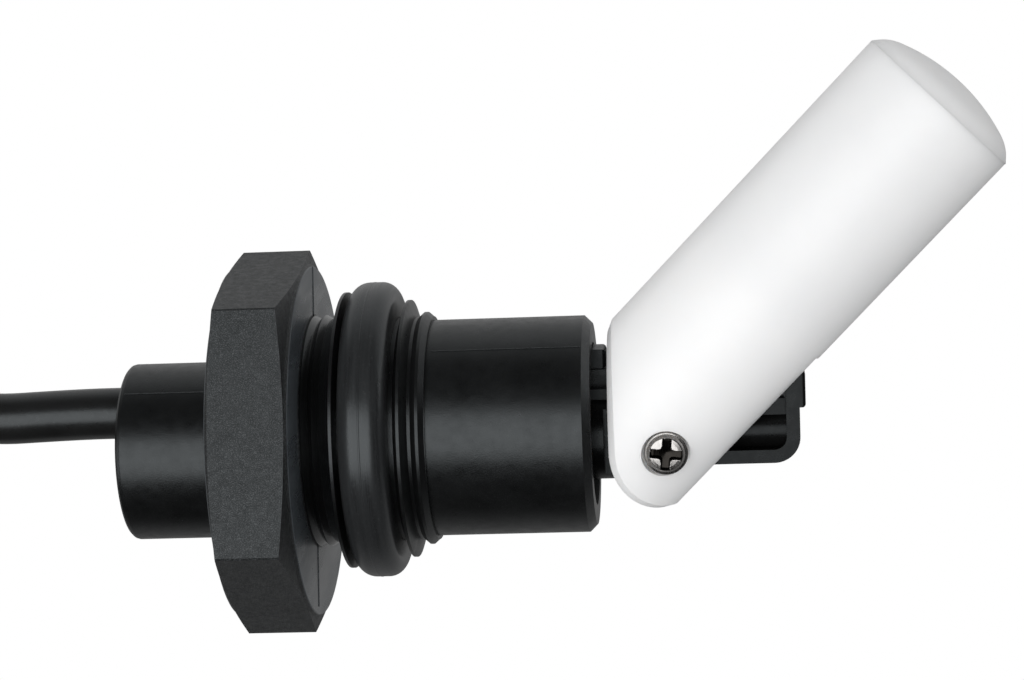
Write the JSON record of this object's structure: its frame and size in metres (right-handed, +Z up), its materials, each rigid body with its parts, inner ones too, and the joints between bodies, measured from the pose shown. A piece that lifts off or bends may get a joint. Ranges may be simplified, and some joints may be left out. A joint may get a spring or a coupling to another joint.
{
  "type": "float level switch",
  "caption": "Side mounted level switch: threaded black body with hexagon and sealing ring, white float hinged on its stem, cable at the rear.",
  "frame": {"origin": "on the thread axis, where the corners of the hexagon end on the thread side, 1.15 mm behind the round seat that is tightened against the tank wall", "axes": "+X along the thread axis into the tank, +Z up, +Y towards the side with the pivot screw's head"},
  "size_m": [0.2419, 0.0486, 0.1334],
  "materials": {
    "housing_plastic": "satin moulded",
    "seal_rubber": "matt",
    "stem_plastic": "satin moulded",
    "bush_plastic": "turned",
    "potting": "cast resin",
    "reed_glass": "drawn tube",
    "blade_metal": "plated",
    "core_brown": "extruded",
    "core_blue": "extruded",
    "sleeve": "shrunk",
    "lead_metal": "drawn wire",
    "cable_sheath": "satin extruded",
    "tie_plastic": "moulded",
    "end_metal": "tinned",
    "float_plastic": "satin, milky",
    "magnet": "sintered",
    "screw_steel": "rolled and polished"
  },
  "bodies": {
    "switch_body": {"housing": "housing_plastic", "sealing_ring": "seal_rubber", "stem": "stem_plastic", "tip_clip": "stem_plastic", "pivot_bush": "bush_plastic", "potting_plug": "potting", "reed_glass": "reed_glass", "reed_blade_a": "blade_metal", "reed_blade_b": "blade_metal", "core_a": "core_brown", "core_b": "core_blue", "splice_sleeve_a": "sleeve", "splice_sleeve_b": "sleeve", "reed_lead_a": "lead_metal", "reed_lead_b": "lead_metal", "cable_run": "cable_sheath", "cable_coil": "cable_sheath", "cable_tie": "tie_plastic", "cable_tail": "cable_sheath", "end_core_a": "core_brown", "end_core_b": "core_blue", "end_sleeve_a": "end_metal", "end_sleeve_b": "end_metal"},
    "float": {"float_shell": "float_plastic", "float_end_cap": "float_plastic", "float_magnet": "magnet", "magnet_plug": "float_plastic", "pivot_screw": "screw_steel", "pivot_nut": "screw_steel"}
  },
  "joints": [
    {"name": "float_pivot", "type": "hinge", "parent": "switch_body", "child": "float", "pos_m": [0.04325, 0, 0.0016], "axis": [0, -1, 0], "range_deg": [0, 45.5]}
  ]
}
